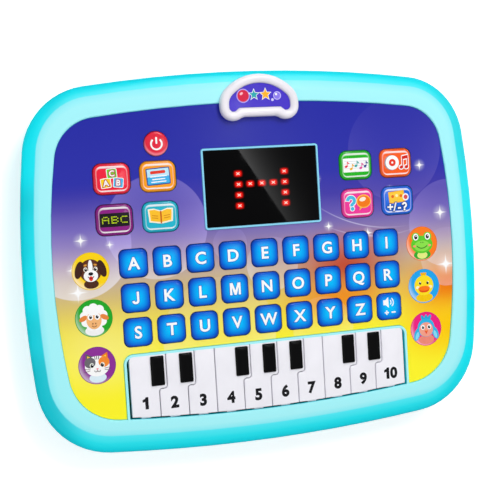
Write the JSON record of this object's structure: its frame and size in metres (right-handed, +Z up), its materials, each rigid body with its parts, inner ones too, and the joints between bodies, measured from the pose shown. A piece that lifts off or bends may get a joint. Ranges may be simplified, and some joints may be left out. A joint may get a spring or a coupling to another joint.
{
  "type": "toy laptop computer",
  "caption": "Flat toy learning computer with a turquoise frame, letter keys, function buttons, lamp matrix screen, and a short piano keyboard along the front.",
  "frame": {"origin": "under the middle of the housing, on the plane that the four feet stand on", "axes": "+X to the right along the rows of keys, +Y towards the badge at the top edge, +Z up out of the face"},
  "size_m": [0.243, 0.1888, 0.0271],
  "materials": {
    "turquoise_plastic": "glossy moulded ABS",
    "rear_plastic": "fine satin moulded ABS",
    "printed_film": "printed polyester film",
    "dark_window": "smoked glossy acrylic",
    "white_plastic": "glossy white ABS",
    "indigo_plate": "glossy plate",
    "circuit_board": "solder mask",
    "lamp_board": "lamp board with red lamps",
    "cell_jacket": "plain cell jacket",
    "spring_steel": "plated steel",
    "speaker_frame": "speaker frame and cone",
    "zinc_screw": "zinc plated",
    "red_button": "glossy",
    "blue_key": "glossy crowned key",
    "crimson_button": "glossy",
    "amber_button": "glossy",
    "purple_button": "glossy",
    "cyan_button": "glossy",
    "green_button": "glossy",
    "orange_button": "glossy",
    "pink_button": "glossy",
    "azure_button": "glossy",
    "ivory_key": "glossy white"
  },
  "bodies": {
    "root": {"front_housing": "turquoise_plastic", "rear_housing": "rear_plastic", "face_film": "printed_film", "screen_window": "dark_window", "badge_rim": "white_plastic", "badge_plate": "indigo_plate", "main_board": "circuit_board", "led_matrix": "lamp_board", "battery_door": "rear_plastic", "batteries": "cell_jacket", "battery_contacts": "spring_steel", "speaker": "speaker_frame", "screws": "zinc_screw", "piano_rod": "spring_steel"},
    "power_button_body": {"power_button": "red_button"},
    "key_a_body": {"key_a": "blue_key"},
    "key_b_body": {"key_b": "blue_key"},
    "key_c_body": {"key_c": "blue_key"},
    "key_d_body": {"key_d": "blue_key"},
    "key_e_body": {"key_e": "blue_key"},
    "key_f_body": {"key_f": "blue_key"},
    "key_g_body": {"key_g": "blue_key"},
    "key_h_body": {"key_h": "blue_key"},
    "key_i_body": {"key_i": "blue_key"},
    "key_j_body": {"key_j": "blue_key"},
    "key_k_body": {"key_k": "blue_key"},
    "key_l_body": {"key_l": "blue_key"},
    "key_m_body": {"key_m": "blue_key"},
    "key_n_body": {"key_n": "blue_key"},
    "key_o_body": {"key_o": "blue_key"},
    "key_p_body": {"key_p": "blue_key"},
    "key_q_body": {"key_q": "blue_key"},
    "key_r_body": {"key_r": "blue_key"},
    "key_s_body": {"key_s": "blue_key"},
    "key_t_body": {"key_t": "blue_key"},
    "key_u_body": {"key_u": "blue_key"},
    "key_v_body": {"key_v": "blue_key"},
    "key_w_body": {"key_w": "blue_key"},
    "key_x_body": {"key_x": "blue_key"},
    "key_y_body": {"key_y": "blue_key"},
    "key_z_body": {"key_z": "blue_key"},
    "key_volume_body": {"key_volume": "blue_key"},
    "function_left_1_body": {"function_left_1": "crimson_button"},
    "function_left_2_body": {"function_left_2": "amber_button"},
    "function_left_3_body": {"function_left_3": "purple_button"},
    "function_left_4_body": {"function_left_4": "cyan_button"},
    "function_right_1_body": {"function_right_1": "green_button"},
    "function_right_2_body": {"function_right_2": "orange_button"},
    "function_right_3_body": {"function_right_3": "pink_button"},
    "function_right_4_body": {"function_right_4": "azure_button"},
    "piano_key_1_body": {"piano_key_1": "ivory_key"},
    "piano_key_2_body": {"piano_key_2": "ivory_key"},
    "piano_key_3_body": {"piano_key_3": "ivory_key"},
    "piano_key_4_body": {"piano_key_4": "ivory_key"},
    "piano_key_5_body": {"piano_key_5": "ivory_key"},
    "piano_key_6_body": {"piano_key_6": "ivory_key"},
    "piano_key_7_body": {"piano_key_7": "ivory_key"},
    "piano_key_8_body": {"piano_key_8": "ivory_key"},
    "piano_key_9_body": {"piano_key_9": "ivory_key"},
    "piano_key_10_body": {"piano_key_10": "ivory_key"}
  },
  "joints": [
    {"name": "power_button_press", "type": "slide", "parent": "root", "child": "power_button_body", "axis": [0, 0, -1], "range_m": [0, 0.0006], "stiffness_N_per_m": 600},
    {"name": "key_a_press", "type": "slide", "parent": "root", "child": "key_a_body", "axis": [0, 0, -1], "range_m": [0, 0.0006], "stiffness_N_per_m": 600},
    {"name": "key_b_press", "type": "slide", "parent": "root", "child": "key_b_body", "axis": [0, 0, -1], "range_m": [0, 0.0006], "stiffness_N_per_m": 600},
    {"name": "key_c_press", "type": "slide", "parent": "root", "child": "key_c_body", "axis": [0, 0, -1], "range_m": [0, 0.0006], "stiffness_N_per_m": 600},
    {"name": "key_d_press", "type": "slide", "parent": "root", "child": "key_d_body", "axis": [0, 0, -1], "range_m": [0, 0.0006], "stiffness_N_per_m": 600},
    {"name": "key_e_press", "type": "slide", "parent": "root", "child": "key_e_body", "axis": [0, 0, -1], "range_m": [0, 0.0006], "stiffness_N_per_m": 600},
    {"name": "key_f_press", "type": "slide", "parent": "root", "child": "key_f_body", "axis": [0, 0, -1], "range_m": [0, 0.0006], "stiffness_N_per_m": 600},
    {"name": "key_g_press", "type": "slide", "parent": "root", "child": "key_g_body", "axis": [0, 0, -1], "range_m": [0, 0.0006], "stiffness_N_per_m": 600},
    {"name": "key_h_press", "type": "slide", "parent": "root", "child": "key_h_body", "axis": [0, 0, -1], "range_m": [0, 0.0006], "stiffness_N_per_m": 600},
    {"name": "key_i_press", "type": "slide", "parent": "root", "child": "key_i_body", "axis": [0, 0, -1], "range_m": [0, 0.0006], "stiffness_N_per_m": 600},
    {"name": "key_j_press", "type": "slide", "parent": "root", "child": "key_j_body", "axis": [0, 0, -1], "range_m": [0, 0.0006], "stiffness_N_per_m": 600},
    {"name": "key_k_press", "type": "slide", "parent": "root", "child": "key_k_body", "axis": [0, 0, -1], "range_m": [0, 0.0006], "stiffness_N_per_m": 600},
    {"name": "key_l_press", "type": "slide", "parent": "root", "child": "key_l_body", "axis": [0, 0, -1], "range_m": [0, 0.0006], "stiffness_N_per_m": 600},
    {"name": "key_m_press", "type": "slide", "parent": "root", "child": "key_m_body", "axis": [0, 0, -1], "range_m": [0, 0.0006], "stiffness_N_per_m": 600},
    {"name": "key_n_press", "type": "slide", "parent": "root", "child": "key_n_body", "axis": [0, 0, -1], "range_m": [0, 0.0006], "stiffness_N_per_m": 600},
    {"name": "key_o_press", "type": "slide", "parent": "root", "child": "key_o_body", "axis": [0, 0, -1], "range_m": [0, 0.0006], "stiffness_N_per_m": 600},
    {"name": "key_p_press", "type": "slide", "parent": "root", "child": "key_p_body", "axis": [0, 0, -1], "range_m": [0, 0.0006], "stiffness_N_per_m": 600},
    {"name": "key_q_press", "type": "slide", "parent": "root", "child": "key_q_body", "axis": [0, 0, -1], "range_m": [0, 0.0006], "stiffness_N_per_m": 600},
    {"name": "key_r_press", "type": "slide", "parent": "root", "child": "key_r_body", "axis": [0, 0, -1], "range_m": [0, 0.0006], "stiffness_N_per_m": 600},
    {"name": "key_s_press", "type": "slide", "parent": "root", "child": "key_s_body", "axis": [0, 0, -1], "range_m": [0, 0.0006], "stiffness_N_per_m": 600},
    {"name": "key_t_press", "type": "slide", "parent": "root", "child": "key_t_body", "axis": [0, 0, -1], "range_m": [0, 0.0006], "stiffness_N_per_m": 600},
    {"name": "key_u_press", "type": "slide", "parent": "root", "child": "key_u_body", "axis": [0, 0, -1], "range_m": [0, 0.0006], "stiffness_N_per_m": 600},
    {"name": "key_v_press", "type": "slide", "parent": "root", "child": "key_v_body", "axis": [0, 0, -1], "range_m": [0, 0.0006], "stiffness_N_per_m": 600},
    {"name": "key_w_press", "type": "slide", "parent": "root", "child": "key_w_body", "axis": [0, 0, -1], "range_m": [0, 0.0006], "stiffness_N_per_m": 600},
    {"name": "key_x_press", "type": "slide", "parent": "root", "child": "key_x_body", "axis": [0, 0, -1], "range_m": [0, 0.0006], "stiffness_N_per_m": 600},
    {"name": "key_y_press", "type": "slide", "parent": "root", "child": "key_y_body", "axis": [0, 0, -1], "range_m": [0, 0.0006], "stiffness_N_per_m": 600},
    {"name": "key_z_press", "type": "slide", "parent": "root", "child": "key_z_body", "axis": [0, 0, -1], "range_m": [0, 0.0006], "stiffness_N_per_m": 600},
    {"name": "key_volume_press", "type": "slide", "parent": "root", "child": "key_volume_body", "axis": [0, 0, -1], "range_m": [0, 0.0006], "stiffness_N_per_m": 600},
    {"name": "function_left_1_press", "type": "slide", "parent": "root", "child": "function_left_1_body", "axis": [0, 0, -1], "range_m": [0, 0.0006], "stiffness_N_per_m": 600},
    {"name": "function_left_2_press", "type": "slide", "parent": "root", "child": "function_left_2_body", "axis": [0, 0, -1], "range_m": [0, 0.0006], "stiffness_N_per_m": 600},
    {"name": "function_left_3_press", "type": "slide", "parent": "root", "child": "function_left_3_body", "axis": [0, 0, -1], "range_m": [0, 0.0006], "stiffness_N_per_m": 600},
    {"name": "function_left_4_press", "type": "slide", "parent": "root", "child": "function_left_4_body", "axis": [0, 0, -1], "range_m": [0, 0.0006], "stiffness_N_per_m": 600},
    {"name": "function_right_1_press", "type": "slide", "parent": "root", "child": "function_right_1_body", "axis": [0, 0, -1], "range_m": [0, 0.0006], "stiffness_N_per_m": 600},
    {"name": "function_right_2_press", "type": "slide", "parent": "root", "child": "function_right_2_body", "axis": [0, 0, -1], "range_m": [0, 0.0006], "stiffness_N_per_m": 600},
    {"name": "function_right_3_press", "type": "slide", "parent": "root", "child": "function_right_3_body", "axis": [0, 0, -1], "range_m": [0, 0.0006], "stiffness_N_per_m": 600},
    {"name": "function_right_4_press", "type": "slide", "parent": "root", "child": "function_right_4_body", "axis": [0, 0, -1], "range_m": [0, 0.0006], "stiffness_N_per_m": 600},
    {"name": "piano_key_1_swing", "type": "hinge", "parent": "root", "child": "piano_key_1_body", "pos_m": [0, -0.0457, 0.01744], "axis": [1, 0, 0], "range_deg": [0, 3], "stiffness_Nm_per_rad": 0.5},
    {"name": "piano_key_2_swing", "type": "hinge", "parent": "root", "child": "piano_key_2_body", "pos_m": [0, -0.0457, 0.01744], "axis": [1, 0, 0], "range_deg": [0, 3], "stiffness_Nm_per_rad": 0.5},
    {"name": "piano_key_3_swing", "type": "hinge", "parent": "root", "child": "piano_key_3_body", "pos_m": [0, -0.0457, 0.01744], "axis": [1, 0, 0], "range_deg": [0, 3], "stiffness_Nm_per_rad": 0.5},
    {"name": "piano_key_4_swing", "type": "hinge", "parent": "root", "child": "piano_key_4_body", "pos_m": [0, -0.0457, 0.01744], "axis": [1, 0, 0], "range_deg": [0, 3], "stiffness_Nm_per_rad": 0.5},
    {"name": "piano_key_5_swing", "type": "hinge", "parent": "root", "child": "piano_key_5_body", "pos_m": [0, -0.0457, 0.01744], "axis": [1, 0, 0], "range_deg": [0, 3], "stiffness_Nm_per_rad": 0.5},
    {"name": "piano_key_6_swing", "type": "hinge", "parent": "root", "child": "piano_key_6_body", "pos_m": [0, -0.0457, 0.01744], "axis": [1, 0, 0], "range_deg": [0, 3], "stiffness_Nm_per_rad": 0.5},
    {"name": "piano_key_7_swing", "type": "hinge", "parent": "root", "child": "piano_key_7_body", "pos_m": [0, -0.0457, 0.01744], "axis": [1, 0, 0], "range_deg": [0, 3], "stiffness_Nm_per_rad": 0.5},
    {"name": "piano_key_8_swing", "type": "hinge", "parent": "root", "child": "piano_key_8_body", "pos_m": [0, -0.0457, 0.01744], "axis": [1, 0, 0], "range_deg": [0, 3], "stiffness_Nm_per_rad": 0.5},
    {"name": "piano_key_9_swing", "type": "hinge", "parent": "root", "child": "piano_key_9_body", "pos_m": [0, -0.0457, 0.01744], "axis": [1, 0, 0], "range_deg": [0, 3], "stiffness_Nm_per_rad": 0.5},
    {"name": "piano_key_10_swing", "type": "hinge", "parent": "root", "child": "piano_key_10_body", "pos_m": [0, -0.0457, 0.01744], "axis": [1, 0, 0], "range_deg": [0, 3], "stiffness_Nm_per_rad": 0.5}
  ]
}
